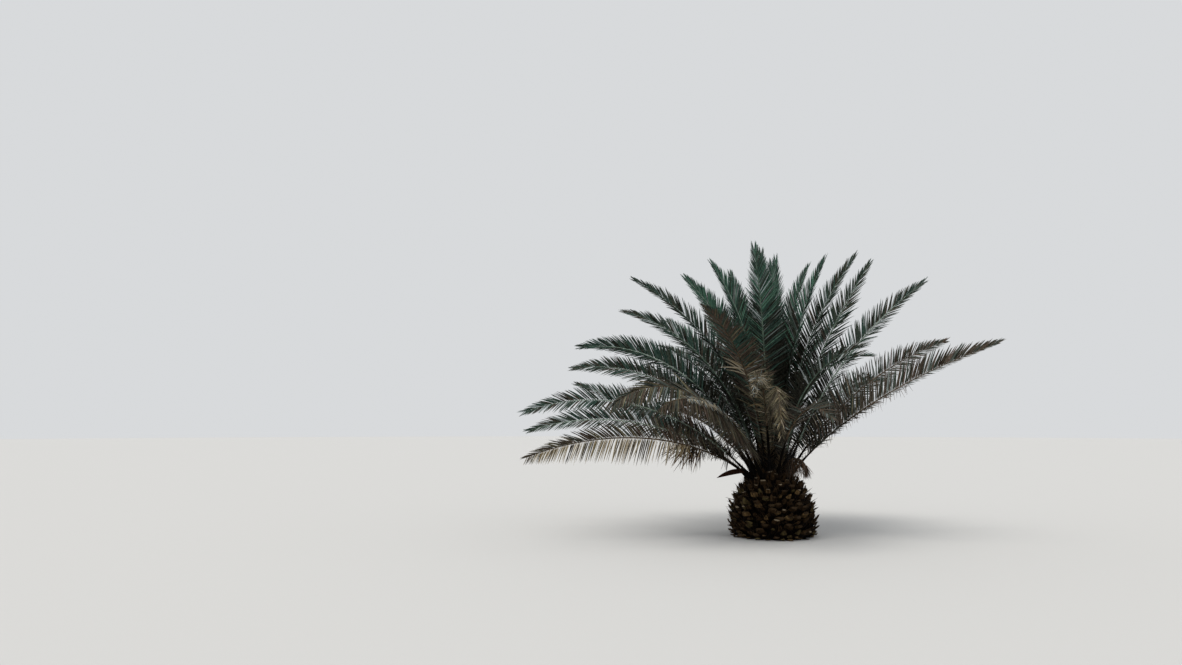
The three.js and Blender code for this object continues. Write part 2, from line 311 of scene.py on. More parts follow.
# name, direction, rise at the foot, length, droop to the tip, how late it bends, twist of the blade, hang of
# the leaflets, their size, kind
frondFacts = ["name", "direction", "rise", "length", "droop", "bend", "twist", "hang", "leaf", "kind"]
seenFronds = [
    ("left1", 188, 44.5, 2.83, 65.3, 0.69, -70, 0.30, 0.85, "drying"),
    ("left2", 172, 43, 2.90, 60.6, 0.96, -60, 0.12, 0.90, "greying"),
    ("left3", 203, 43, 3.135, 62.5, 1.25, -65, 0, 0.85, "greying"),
    ("left4", 150, 40, 2.76, 23.5, 0.67, -45, 0, 0.80, "green"),
    ("left5", 160, 61, 2.88, 68.5, 1.21, -65, 0, 0.85, "green"),
    ("left6", 184, 67, 2.80, 74.5, 1.41, -60, 0, 0.90, "dark"),
    ("left7", 170, 77, 2.7, 62, 1.40, -60, 0, 0.90, "green"),
    ("left8", 196, 83, 2.88, 58, 1.06, -60, 0, 0.85, "green"),
    ("left9", 222, 82, 2.67, 53, 1.22, 10, 0, 1, "bright"),
    ("left10", 182, 88, 2.615, 32, 1.85, -65, 0, 1, "bright"),
    ("left11", 142, 85, 2.475, 10.4, 1.40, -40, 0, 1, "deep"),
    ("top1", 238, 88, 2.676, 19.5, 2.80, 0, 0, 1.05, "deep"),
    ("top2", 100, 88, 2.685, 0.5, 1.30, 0, 0, 1, "deep"),
    ("top3", 58, 87, 2.64, 5.5, 1.37, 0, 0, 1, "deep"),
    ("top4", 282, 88, 2.48, 0, 1.30, 0, 0, 1.05, "deep"),
    ("right1", 14, 87, 2.56, 24, 2.20, 20, 0, 0.95, "deep"),
    ("right2", 328, 86, 2.595, 23.6, 1.40, 60, 0, 0.95, "deep"),
    ("right3", 350, 83, 2.79, 29.5, 1.31, 55, 0, 0.90, "green"),
    ("right4", 14, 77, 2.93, 22.3, 0.72, 50, 0, 0.90, "green"),
    ("right5", 355, 69.5, 2.90, 33.3, 1.12, 60, 0, 0.95, "greying"),
    ("right6", 325, 78, 1.912, 84, 2.13, 30, 0, 0.90, "green"),
    ("right7", 20, 54.5, 3.08, 37.4, 0.90, 50, 0, 0.90, "dusty"),
    ("right8", 348, 57.5, 2.89, 38, 0.56, 45, 0, 0.90, "dusty"),
    ("front1", 227, 56, 2.236, 79, 1.40, -30, 0.50, 1, "faded"),
    ("front2", 212, 59, 2.545, 97.8, 1.59, -40, 0.45, 1, "fading"),
    ("front3", 262, 78, 2.45, 165, 1.50, 0, 0.70, 0.60, "straw"),
    ("front4", 253, 72, 2.2, 122, 1.85, 0, 0.20, 0.60, "curled"),
    ("front5", 236, 78, 2.507, 61.5, 1.18, -10, 0.10, 1, "rusty"),
    ("front6", 281, 65, 1.8, 96, 1.40, 10, 0.10, 0.9, "dusty"),
    ("front7", 304, 78, 2.05, 74, 1.50, 10, 0, 1, "green"),
]

# tiers of fronds at the back: rise, length, droop, first direction, step, count, kind
backTiers = [
    (45, 2.80, 56, 50, 25, 4, "dusty"),
    (56, 2.75, 60, 37.5, 25, 5, "green"),
    (66, 2.65, 56, 50, 25, 4, "green"),
    (76, 2.50, 40, 37.5, 25, 5, "deep"),
]

# usual facts: leaflets' density, breadth, length and how early they reach it, the lower rank's share of it,
# the upper rank's share of the hang, looseness, how far they close up to the tip, their part in the crown's
# painted shade, where painted shade darkens the tip, start and end of the blade, end of the dark stalk, sway
usualFrond = dict(
    dense=1, broad=1, long=1, early=0, lowShare=1, topHang=1, loose=0, close=0,
    shade=1, tipShade=1, blade=frondRule["bladeStart"], end=1,
    stalkEnd=frondRule["stalkEnd"], sway=0,
)

oddFronds = dict(
    left1=dict(dense=1.4, broad=0.85, early=0.30, topHang=0.1, loose=0.04),
    left2=dict(dense=1.2, early=0.30, lowShare=0.8),
    left3=dict(early=0.25),
    left5=dict(dense=1.3),
    left6=dict(dense=2.1, broad=0.9),
    left7=dict(dense=1.5, broad=0.8, close=0.40),
    left8=dict(dense=1.4, close=0.15),
    left9=dict(dense=2.8, broad=0.65, close=0.25),
    left10=dict(dense=2.6, broad=0.65, close=0.30),
    left11=dict(dense=3.0, broad=0.7, close=0.15),
    top1=dict(dense=3.4, broad=0.55),
    top2=dict(dense=1.8, broad=0.75, close=0.10),
    top3=dict(dense=1.8, broad=0.75, close=0.25),
    top4=dict(dense=2.8, broad=0.60, close=0.20),
    right1=dict(dense=1.8, broad=0.75, close=0.30),
    right2=dict(dense=1.8, broad=0.75, close=0.30),
    right3=dict(dense=1.3, broad=0.9, lowShare=0.8, close=0.25),
    right4=dict(dense=1.1, broad=0.9, close=0.25),
    right5=dict(dense=1.3, broad=0.9, lowShare=0.75, close=0.15),
    right7=dict(dense=1.4, broad=0.9, long=1.05, early=0.35, lowShare=0.7, shade=0.35),
    right8=dict(dense=1.5, broad=0.9, long=1.20, early=0.35, lowShare=0.30, shade=0.30),
    front1=dict(blade=0.20, dense=3.0, broad=0.75, early=0.20, loose=0.08, shade=0.15),
    front2=dict(dense=1.8, shade=0.15),
    front3=dict(dense=4.0, broad=0.6, loose=0.35, hang=0.85, shade=0.10, tipShade=0.86),
    front4=dict(dense=3.0, broad=0.6, loose=0.35, shade=0.10, tipShade=0.80),
    front5=dict(dense=2.4, broad=0.70, long=1.1, shade=0.3),
)

# how the back fronds stray from their tier: rate and reach of a wave over their number
stray = dict(
    direction=(1.3, 2), rise=(2.4, 2), length=(3.1, 0.04), droop=(1.9, 6), twist=(1.7, 40),
    sway=(2.9, 6),
)


def describe(*row, **extra):
    # all facts of a frond: the usual ones, its row's, what is odd about it and what the call adds
    name = row[0]
    facts = {**usualFrond, "node": "frond_" + name, **dict(zip(frondFacts, row))}
    # the front fronds' near-black stalk reaches further up, as painted shade at the neck
    if name.startswith("front"):
        facts["stalkEnd"] = frondRule["frontShadedStalkEnd"]
    return {**facts, **oddFronds.get(name, {}), **extra}


def backFronds():
    # each tier's fronds in even steps of direction, every fact moved by its wave
    tiers = []
    for rise, length, droop, first, step, count, kind in backTiers:
        for place in range(count):
            number = len(tiers) + 1
            off = {fact: reach * math.sin(rate * number) for fact, (rate, reach) in stray.items()}
            tiers.append(describe(
                f"back{number}", first + step * place + off["direction"], rise + off["rise"],
                length * (1 + off["length"]), droop + off["droop"], frondRule["backBend"], off["twist"],
                0, 1, kind, sway=off["sway"],
            ))
    return tiers


def profileRadius(z):
    # straight between the heights
    return np.interp(z, trunk["heights"], trunk["radii"])


def seatHeight(reach):
    # a low dome: the top less the drop times the square of the share of the radius
    return seat["top"] - seat["drop"] * (reach / seat["radius"]) ** 2


def frondFoot(frond):
    # the flattest frond stands at the rim of the seat, the steepest in the middle
    flatness = (seat["steepest"] - frond["rise"]) / (seat["steepest"] - seat["flattest"])
    reach = seat["radius"] * math.sqrt(clamp(flatness, 0, seat["furthest"]))
    turn = math.radians(frond["direction"])
    return np.array([reach * math.cos(turn), reach * math.sin(turn), seatHeight(reach)])


def ribFrames(frond, s):
    # the rib's direction, side and upper side at the shares s of its length: the rise drops and the direction
    # sways with a power of s, and the blade rolls by the twist
    rise = np.radians(frond["rise"] - frond["droop"] * s ** frond["bend"])
    turn = np.radians(frond["direction"] + frond["sway"] * s ** frondRule["swayPower"])
    roll = np.radians(frond["twist"]) * s * (2 - s)
    along = np.stack([np.cos(rise) * np.cos(turn), np.cos(rise) * np.sin(turn), np.sin(rise)], -1)
    flat = outAndAside(turn)[1]
    side, over = rolled(flat, np.cross(along, flat), roll)
    return along, side, over


def ribLine(frond, s):
    # the rib's places at the shares s: its direction summed in small steps from the sunk foot
    steps = frondRule["pathSteps"]
    along = ribFrames(frond, (np.arange(steps) + 0.5) / steps)[0]
    foot = frondFoot(frond) - frondRule["footSink"] * ribFrames(frond, np.zeros(1))[0][0]
    line = np.vstack([foot, foot + np.cumsum(along, 0) * frond["length"] / steps])
    grid = np.arange(steps + 1) / steps
    return np.stack([np.interp(s, grid, line[:, axis]) for axis in range(3)], -1)


def leafLength(u):
    # quickly longer from the foot of the blade, then slowly shorter towards its tip
    rule = frondRule
    grow = clamp(u / rule["leafPeak"], rule["leafShortest"], 1) ** rule["leafGrow"]
    fade = clamp((u - rule["leafPeak"]) / (1 - rule["leafPeak"])) ** rule["leafFade"]
    return rule["leafMax"] * grow * (1 - (1 - rule["leafTipShare"]) * fade)


fronds = [describe(*row) for row in seenFronds] + backFronds()
spear = describe("spear", 0, 92, 1.90, 2, 1, 0, 0, 0.45, "deep")
dryFrond = describe(
    "dry", 315, 74, 0.548, 190, 1.7, 0, 0.95, 0.34, "brown",
    node="dry_frond", blade=0.18, dense=5.0, broad=0.45, long=2.1, loose=0.25, shade=0.0, close=0.5,
)
allFronds = fronds + [spear, dryFrond]


def moreOf(name, kind, blade, end, **extra):
    # more leaflets of another kind on a stretch of a frond that already stands
    frond = next(frond for frond in fronds if frond["name"] == name)
    own = {"kind": kind, "blade": blade, "end": end, "early": frondRule["moreEarly"], "shade": 0}
    return {**frond, **own, **extra}


# dead ones that hang low, full ones near the feet of the low fronds, pale wisps partly painted as highlight,
# hanging ones on the front brush and short pale ones along its top, a painted highlight where light falls on
# its ridge, loose straw-coloured and curled ones in the middle and a fan above them
extraLeaflets = [
    moreOf("left1", "dead", 0.25, 0.345, dense=3.5, broad=0.6, long=1.35, hang=0.55, topHang=1.0, loose=0.30),
    moreOf("right8", "dead", 0.20, 0.62, dense=0.5, broad=0.4, long=0.42, hang=0.70, loose=0.25, lowShare=1),
    moreOf("left1", "faded", 0.14, 0.40, dense=1.2, lowShare=0.2),
    moreOf("left2", "faded", 0.14, 0.45, dense=1.6, lowShare=0.7, loose=0.05),
    moreOf("left3", "faded", 0.14, 0.40, dense=2.2, broad=0.8, lowShare=0.9, hang=0.25, loose=0.10),
    moreOf("right7", "bleached", 0.16, 0.45, dense=1.0, broad=0.5, lowShare=0.3, loose=0.12),
    moreOf("right8", "faded", 0.14, 0.45, dense=1.2, broad=0.6, lowShare=0.2, loose=0.10),
    moreOf("front1", "faded", 0.27, 0.42, dense=2.0, broad=0.6, long=0.9, hang=0.60, loose=0.12),
    moreOf("front1", "bleached", 0.26, 0.80, dense=6.0, long=0.34, hang=0.30, loose=0.15),
    moreOf("front3", "straw", 0.60, 0.97, dense=3.0, long=1.2, loose=0.45),
    moreOf("front4", "curls", 0.62, 1.00, dense=5.5, broad=0.8, long=0.75, hang=0.55, loose=0.45, tipShade=1),
    moreOf("front5", "fan", 0.50, 0.57, dense=1.8, broad=0.8, long=0.90, loose=0.20),
]
print("rule set for", len(allFronds), "fronds")


# leaflets: a closed folded strip each, dealt to pieces of one colour

leaflet = dict(
    spacing=0.0220, fewest=6, crowding=1.15, footShare=0.4,
    width=0.0205, narrowest=0.2, thickness=0.0009, fold=0.22,
    # shares of the length, and the share of the width there
    levels=[0.0, 0.12, 0.34, 0.60, 0.84],
    bodyWidth=[0.45, 0.90, 1.00, 0.80, 0.44],
    sweepFoot=60, sweepTip=14, sweepFade=2.6, planes=[31, 19],
    placeJitter=0.10, sweepJitter=2.5, planeJitter=4, lengthJitter=0.06, twistJitter=17,
    # how limp a withered frond stays towards its tip, and from where a side counts as low
    dryLimp=0.6, lowFrom=0.3, lowHang=0.30,
    sag=0.07, drySag=0.16, sagSpread=(0.6, 1.4),
)

# painted shade deep in the crown and on the straw fronds' tips, dry leaflets near the foot of a blade, and
# from what dryness the painted shade is brown
leafShadeAndDryFoot = dict(
    centre=(0.0, 0.0, 1.1), stretch=(1.0, 1.0, 0.7), reach=(0.55, 1.35), share=0.92,
    tipShare=0.9, tipReach=0.14, footShare=0.35, footReach=0.30, brownFrom=0.5,
)

leafLook = dict(
    specular=0.12, noise=(40.0, 3.0), ends=(0.32, 0.68),
    darker=0.70, dust="#8d8874", dustShare=0.12,
)

# how dry a kind of frond is: 0 fresh and stiff, 1 withered and limp, as all others are
dryness = dict(
    dark=0, deep=0, bright=0, green=0.15, greying=0.3, dusty=0.6, fading=0.6, rusty=0.6,
)

# the two darkest colours are painted shade; the pale silver-grey and the near-white glint are painted
# highlights
leafColours = dict(
    shadow=("#0b110d", 0.60),
    brownShadow=("#15110c", 0.62),
    deep=("#2a4841", 0.50),
    bright=("#507a68", 0.50),
    green=("#2e3d35", 0.50),
    grey=("#454d48", 0.52),
    highlightSilver=("#7b8583", 0.50),
    glint=("#b0babb", 0.45),
    dusty=("#463f37", 0.60),
    rusty=("#55463e", 0.62),
    brown=("#2e2219", 0.65),
    chestnut=("#6f4d34", 0.65),
    khaki=("#6c6752", 0.62),
    straw=("#8c7c5e", 0.60),
    pale=("#aca08a", 0.60),
)

# shares of leaflet colours in a kind of frond; the lower rank of a drying one is paler
# in each mix the darkest colour is painted shade, and the silver-grey and near-white glint are painted
# highlights
leafMixes = dict(
    deep=dict(deep=0.38, bright=0.24, green=0.16, grey=0.04, highlightSilver=0.12, glint=0.06),
    dark=dict(shadow=0.24, deep=0.46, green=0.22, highlightSilver=0.04, glint=0.04),
    bright=dict(bright=0.40, deep=0.36, green=0.14, highlightSilver=0.10),
    green=dict(shadow=0.14, deep=0.22, green=0.36, grey=0.08, highlightSilver=0.03, dusty=0.12, glint=0.05),
    greying=dict(shadow=0.14, deep=0.18, green=0.30, grey=0.08, highlightSilver=0.07, dusty=0.14, glint=0.09),
    dusty=dict(green=0.12, grey=0.24, highlightSilver=0.08, dusty=0.34, rusty=0.14, brown=0.08),
    fading=dict(green=0.24, grey=0.18, highlightSilver=0.08, dusty=0.28, rusty=0.08, khaki=0.14),
    rusty=dict(rusty=0.30, dusty=0.20, deep=0.14, green=0.18, grey=0.10, khaki=0.08),
    faded=dict(grey=0.10, dusty=0.40, rusty=0.20, khaki=0.14, brown=0.16),
    drying=dict(grey=0.14, dusty=0.42, khaki=0.16, rusty=0.16, brown=0.12),
    straw=dict(dusty=0.44, khaki=0.28, brown=0.10, straw=0.12, pale=0.06),
    curled=dict(khaki=0.32, green=0.22, straw=0.12, pale=0.16, dusty=0.18),
    brown=dict(brown=0.60, rusty=0.14, dusty=0.10, chestnut=0.16),
    dead=dict(rusty=0.24, brown=0.22, dusty=0.08, straw=0.12, chestnut=0.34),
    # the bleached mix is pale leaflets with a large share of painted highlight
    bleached=dict(khaki=0.08, pale=0.36, highlightSilver=0.20, glint=0.14, dusty=0.12, brown=0.10),
    curls=dict(khaki=0.16, pale=0.50, straw=0.06, glint=0.24, dusty=0.04),
    fan=dict(straw=0.20, pale=0.60, glint=0.10, khaki=0.10),
)
footMix = dict(dusty=0.36, rusty=0.20, brown=0.18, khaki=0.26)
lowMix = dict(straw=0.24, pale=0.32, khaki=0.20, dusty=0.16, brown=0.08)


def leafFinish(name, colour, roughness):
    # one base colour with patches a little darker and others greyer, as dust lies on it
    base, dust = np.array(linear(colour))[:3], np.array(linear(leafLook["dust"]))[:3]
    darker = tuple(base * leafLook["darker"]) + (1.0,)
    dustier = tuple(mix(base, dust, leafLook["dustShare"])) + (1.0,)
    look = {**leafLook, "roughness": roughness}
    finish, patches = mottled("leaf" + name.capitalize(), look, darker, dustier)
    finish.feed("Base Color", patches)
    return finish


def leafStrips(base, heading, width, length, sag, alongRib, hand, twist):
    # folded strips: base + heading * length * v less a drop with v squared; the edges stand over the middle
    # by the fold, and the width runs out to a point
    v = np.array(leaflet["levels"])[None, :, None]
    step = length[:, None, None]
    drop = sag[:, None, None]
    centre = base[:, None] + heading[:, None] * step * v + down * drop * step * v * v
    ahead = unit(heading[:, None] + down * 2 * drop * v)
    across = -hand[:, None, None] * alongRib[:, None]
    across = unit(across - (across * ahead).sum(-1, keepdims=True) * ahead)
    across, over = rolled(across, np.cross(ahead, across), twist[:, None])
    half = 0.5 * width[:, None, None] * np.array(leaflet["bodyWidth"])[None, :, None]
    rise = half * leaflet["fold"]
    thin = leaflet["thickness"]
    rings = np.stack([
        centre + across * half + over * rise, centre + over * thin,
        centre - across * half + over * rise, centre - over * thin,
    ], 2)
    tip = base + heading * length[:, None] + down * (sag * length)[:, None]
    return closedTubes(rings, centre[:, 0], tip)


def leafPlaces(frond, draw):
    # two ranks that crowd towards the tip: each leaflet's side, its share s of the rib and u of the blade
    blade = frond["length"] * (frond["end"] - frond["blade"])
    count = max(leaflet["fewest"], round(blade * frond["dense"] / leaflet["spacing"]))
    hand = np.repeat([1.0, -1.0], count)
    place = np.tile((np.arange(count) + 0.5) / count, 2)
    jitter = draw.normal(0, leaflet["placeJitter"] / count, 2 * count)
    s = mix(frond["blade"], frond["end"], clamp(1 - (1 - place) ** leaflet["crowding"] + jitter))
    start = frondRule["bladeStart"]
    u = clamp((s - min(start, frond["blade"])) / (1 - start))
    return hand, s, u


def leaning(frames, hand, lean, lift):
    # off the rib by the lean, to the side of the hand, lifted over the blade
    along, side, over = frames
    return (
        along * np.cos(lean)[:, None]
        + side * (hand * np.sin(lean) * np.cos(lift))[:, None]
        + over * (np.sin(lean) * np.sin(lift))[:, None]
    )


def leafHeadings(frond, frames, hand, u, hang, draw):
    # off the rib by the sweep, which closes towards the tip, in two planes; then down by the hang and any way
    # at all by the looseness
    count = len(u)
    sweep = mix(leaflet["sweepFoot"], leaflet["sweepTip"], u ** leaflet["sweepFade"])
    sweep = sweep * (1 - frond["close"] * u)
    sweep = np.radians(sweep + draw.normal(0, leaflet["sweepJitter"], count))
    vee = np.radians(np.resize(leaflet["planes"], count) + draw.normal(0, leaflet["planeJitter"], count))
    heading = leaning(frames, hand, sweep, vee) * (1 - hang)[:, None]
    heading[:, 2] -= hang
    return unit(unit(heading) + frond["loose"] * draw.normal(0, 1, (count, 3)))


def growLeaflets(frond, draw):
    # the leaflets along one blade with small jitters: stiffer towards the tip, and on the low side of a dry
    # frond they hang more
    rule = frondRule
    hand, s, u = leafPlaces(frond, draw)
    frames = ribFrames(frond, s)
    along, side = frames[:2]
    count = len(u)
    dry = dryness.get(frond["kind"], 1)
    limp = 1 - rule["stiffer"] * u * (1 - leaflet["dryLimp"] * dry)
    lowSide = clamp(-hand * side[:, 2])
    hang = frond["hang"] * limp * np.where(hand * side[:, 2] > 0, frond["topHang"], 1)
    hang = hang + leaflet["lowHang"] * lowSide * dry
    heading = leafHeadings(frond, frames, hand, u, hang, draw)
    reached = np.where(lowSide < leaflet["lowFrom"], np.maximum(u, frond["early"]), u)
    length = leafLength(reached) * frond["leaf"] * frond["long"]
    length = length * (1 + draw.normal(0, leaflet["lengthJitter"], count))
    length = length * mix(1, frond["lowShare"], clamp(2 * lowSide))
    length = length * (1 - frond["loose"] * draw.random(count))
    share = clamp(length / rule["leafMax"], leaflet["narrowest"], 1.0)
    sag = mix(leaflet["sag"], leaflet["drySag"], dry) * limp * draw.uniform(*leaflet["sagSpread"], count)
    twist = np.radians(draw.normal(0, leaflet["twistJitter"] * (1 + dry), count))
    base = ribLine(frond, s) + side * (hand * leaflet["footShare"] * ribWidth(s))[:, None]
    return {
        "base": base, "heading": heading, "width": leaflet["width"] * frond["broad"] * np.sqrt(share),
        "length": length, "sag": sag, "alongRib": along, "hand": hand, "twist": twist,
        "colour": dealColours(frond, u, base + heading * 0.5 * length[:, None], lowSide, draw),
    }


def dealColours(frond, u, middle, lowSide, draw):
    # a colour name for each leaflet, by the shares of its kind, of the dry foot or of a drying lower rank;
    # deep in the crown and on the straw fronds' tips a dark colour is dealt as painted shade, browner on the
    # dry fronds
    kind = frond["kind"]
    own, foot, under = [
        draw.choice(list(shares), size=len(u), p=list(shares.values()))
        for shares in (leafMixes[kind], footMix, lowMix)
    ]
    chance = draw.random((2, len(u)))
    near, far = leafShadeAndDryFoot["reach"]
    depth = np.linalg.norm((middle - leafShadeAndDryFoot["centre"]) * leafShadeAndDryFoot["stretch"], axis=1)
    shaded = chance[0] < leafShadeAndDryFoot["share"] * frond["shade"] * clamp((far - depth) / (far - near))
    shaded |= chance[0] < leafShadeAndDryFoot["tipShare"] * clamp((u - frond["tipShade"]) / leafShadeAndDryFoot["tipReach"])
    dried = (chance[1] < leafShadeAndDryFoot["footShare"] * clamp(1 - u / leafShadeAndDryFoot["footReach"])) & (kind != "dead")
    low = (lowSide > leaflet["lowFrom"]) & (kind == "drying")
    colour = np.where(low, under, own)
    colour = np.where(dried, foot, colour)
    # painted shade: near-black green, or near-black brown on the dry fronds
    shade = "brownShadow" if dryness.get(kind, 1) > leafShadeAndDryFoot["brownFrom"] else "shadow"
    return np.where(shaded, shade, colour)


def buildLeaflets(draw):
    # the leaflets of all fronds at once, then one piece for each colour
    owners = allFronds + extraLeaflets
    grown = [growLeaflets(frond, draw) for frond in owners]
    owner = np.concatenate([np.full(len(leaves["base"]), k) for k, leaves in enumerate(grown)])
    facts = {fact: np.concatenate([leaves[fact] for leaves in grown]) for fact in grown[0]}
    colours = facts.pop("colour")
    for colour, (code, roughness) in leafColours.items():
        chosen = colours == colour
        strips = leafStrips(**{fact: values[chosen] for fact, values in facts.items()})
        piece = makePiece("leaflets_" + colour, [strips], leafFinish(colour, code, roughness))
        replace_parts(piece, *sorted({owners[k]["node"] for k in np.unique(owner[chosen])}))
    print("leaflets grown")


# stalks: petiole, blade rib and sheath

rib = dict(
    sheathWidth=0.092, petioleWidth=0.044, bladeWidth=0.030, tipWidth=0.005,
    sheathEnd=0.075, shoulder=0.03, shoulderShare=0.78,
    depthShare=0.62, crownShare=0.25, keelShare=0.75, keelTaper=0.35,
    corners=10, stations=44, stalkStations=20, stalkSwell=1.04, stalkLap=0.012,
)

# rib colour of the fresh kinds of frond; the others' is tan
ribColours = dict(dark="pale", deep="green", bright="pale", green="green", greying="pale")

# material, light and dark colour
ribTones = dict(
    green=("ribGreen", "#6f8272", "#35433a"),
    pale=("ribPale", "#9fb0a2", "#56655a"),
    tan=("ribTan", "#5c4d3b", "#251d16"),
)
ribLook = dict(roughness=0.5, specular=0.15, noise=(16.0, 3.0), ends=(0.3, 0.7))

spine = dict(
    count=9, first=0.05, past=0.02, placeJitter=0.002, lean=(35, 60), lift=(-10, 45),
    footShare=0.42, radius=0.0034, shortest=0.03, longest=0.11, longestAt=0.15,
    lengthSpread=(0.8, 1.2),
)


def ribFinish(name, light, dark):
    # two colours in soft streaks
    finish, streaks = mottled(name, ribLook, linear(dark), linear(light))
    finish.feed("Base Color", streaks)
    return finish


def ribWidth(s):
    # broad sheath at the foot, petiole, then a rib that thins evenly to the tip
    foot = rib["sheathWidth"]
    spots = [0, rib["shoulder"], rib["sheathEnd"], frondRule["bladeStart"], 1]
    widths = [foot, foot * rib["shoulderShare"], rib["petioleWidth"], rib["bladeWidth"], rib["tipWidth"]]
    return np.interp(s, spots, widths)


def ribTube(frond, s, swell=1.0):
    # section with a low crown above and a round keel below, carried along the rib
    turn = evenTurn(rib["corners"])
    along, side, over = ribFrames(frond, s)
    width = ribWidth(s) * swell
    depth = width * rib["depthShare"]
    across = 0.5 * width[:, None] * np.cos(turn) * (1 - rib["keelTaper"] * clamp(-np.sin(turn)))
    above = depth[:, None] * np.where(np.sin(turn) > 0, rib["crownShare"], rib["keelShare"]) * np.sin(turn)
    line = ribLine(frond, s)
    rings = carried(line, side, over, across, above)
    return closedTubes(rings[None], line[:1], line[-1:] + along[-1:] * width[-1])


# share at the second ring, and from what upward share a cone counts as upright
cone = dict(waist=0.55, upright=0.9, corners=4)


def cones(base, heading, radius, length, corners=cone["corners"]):
    # straight thin cones: one ring round the foot, one at the same share of radius and length, and a point
    waist = cone["waist"]
    ahead = unit(heading)
    nearlyUpright = np.abs(ahead[:, 2:]) > cone["upright"]
    across = unit(np.cross(np.where(nearlyUpright, [[1.0, 0, 0]], [[0, 0, 1.0]]), ahead))
    ring = circleRound(across, np.cross(ahead, across), corners)
    low = base[:, None] + ring * radius[:, None, None]
    high = base[:, None] + ahead[:, None] * (length * waist)[:, None, None]
    high = high + ring * (radius * waist)[:, None, None]
    return closedTubes(np.stack([low, high], 1), base, base + ahead * length[:, None])


def growSpines(frond, draw):
    # stiff spines on both sides of the petiole, longer towards the blade
    both = 2 * spine["count"]
    places = np.linspace(spine["first"], frondRule["bladeStart"] + spine["past"], spine["count"])
    s = np.tile(places, 2) + draw.normal(0, spine["placeJitter"], both)
    hand = np.repeat([1.0, -1.0], spine["count"])
    frames = ribFrames(frond, s)
    lean = np.radians(draw.uniform(*spine["lean"], both))
    lift = np.radians(draw.uniform(*spine["lift"], both))
    heading = unit(leaning(frames, hand, lean, lift))
    base = ribLine(frond, s) + frames[1] * (hand * spine["footShare"] * ribWidth(s))[:, None]
    length = mix(spine["shortest"], spine["longest"], clamp(s / spine["longestAt"]))
    length = length * draw.uniform(*spine["lengthSpread"], both)
    return cones(base, heading, np.full(both, spine["radius"]), length)


def buildStalks(draw):
    # ribs in their colours, the near-black lower part of every stalk, brown sheath darkened as painted shade,
    # and spines
    for colour, (name, light, dark) in ribTones.items():
        chosen = [frond for frond in allFronds if ribColours.get(frond["kind"], "tan") == colour]
        tubes = [ribTube(frond, np.linspace(frond["stalkEnd"], 1, rib["stations"])) for frond in chosen]
        piece = makePiece("ribs_" + colour, tubes, ribFinish(name, light, dark), smooth=True)
        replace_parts(piece, *[frond["node"] for frond in chosen])
    tubes = []
    for frond in allFronds:
        s = np.linspace(0, frond["stalkEnd"] + rib["stalkLap"], rib["stalkStations"])
        tubes.append(ribTube(frond, s, rib["stalkSwell"]))
    # near-black: brown sheath fibre with painted shade at the neck
    sheath = barkFinish("stalkSheathShaded", "#050403", "#110c08", "#1a140d")
    piece = makePiece("stalk_sheaths_shaded", tubes, sheath, smooth=True)
    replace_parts(piece, *[frond["node"] for frond in fronds + [spear]])
    spines = [growSpines(frond, draw) for frond in fronds]
    makePiece("stalk_spines", spines, ribFinish("spineTan", "#5d4f39", "#241b12"))
    print("stalks grown")


# trunk core under the leaf bases: dark fibre, made near-black as painted shade in the gaps between them

core = dict(
    corners=144, levels=60, sunk=0.085, neckShare=0.5,
    waves=10, waveDepth=0.003, waveRows=(10, 60), waveTurns=(6, 40),
    domeLevels=6, domeFrom=0.9, domeTo=0.1,
)


barkLook = dict(
    roughness=0.85, specular=0.06, noise=(38.0, 4.0, (1, 1, 0.35)), ends=(0.32, 0.68),
    dustShare=0.45, dustEdge=0.6, dustNoise=(20.0, 3.0), dustEnds=(0.75, 1.35),
    reliefNoise=(120.0, 4.0, (1, 1, 0.3)), relief=0.004,
)


def barkFinish(name, dark, light, dust):
    # brown with long streaks, and paler dust on what faces up, with an uneven edge
    look = barkLook
    finish, streaks = mottled(name, look, linear(dark), linear(light))
    normal = finish.add("ShaderNodeNewGeometry", output="Normal")
    facingUp = finish.add("ShaderNodeSeparateXYZ", values={0: normal}, output=2)
    dusty = finish.between(facingUp + look["dustEdge"] * finish.noise(*look["dustNoise"]), *look["dustEnds"])
    finish.feed("Base Color", finish.blend(look["dustShare"] * dusty, streaks, linear(dust)))
    finish.relief(finish.noise(*look["reliefNoise"]), look["relief"])
    return finish


def turnedRings(radius, height, turn):
    # rings round the upright axis, one for each height
    return np.stack([radius * np.cos(turn), radius * np.sin(turn), height * np.ones(len(turn))], -1)[None]


def coreSurface(draw):
    # turned surface, sunk under the profile by a depth that shrinks with the cube of the height, with waves
    # of relief over height and turn, closed over the crown seat
    levels = np.linspace(0, trunk["neckHeight"], core["levels"])
    turn = evenTurn(core["corners"])
    sunk = core["sunk"] * (1 - core["neckShare"] * (levels / trunk["neckHeight"]) ** 3)
    radius = (profileRadius(levels) - sunk)[:, None] * np.ones(len(turn))
    for _ in range(core["waves"]):
        rows, turns = draw.uniform(*core["waveRows"]), draw.integers(*core["waveTurns"])
        phase = draw.uniform(0, 2 * math.pi)
        radius += core["waveDepth"] * np.sin(rows * levels[:, None] + turns * turn + phase)
    height = levels[:, None] * np.ones(len(turn))
    dome = np.linspace(core["domeFrom"], core["domeTo"], core["domeLevels"])[:, None] * radius[-1]
    rings = turnedRings(np.vstack([radius, dome]), np.vstack([height, seatHeight(dome)]), turn)
    return closedTubes(rings, np.zeros((1, 3)), np.array([[0, 0, seat["top"]]]))


def buildCore(draw):
    # one smooth piece under all leaf bases
    # near-black: dark fibre with painted shade in the gaps between the bases
    finish = barkFinish("trunkCore", "#050403", "#0f0b08", "#16110b")
    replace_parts(makePiece("trunk_core", [coreSurface(draw)], finish, smooth=True), "trunk")


# leaf bases: stubs of old stalks with cut, torn and weathered ends

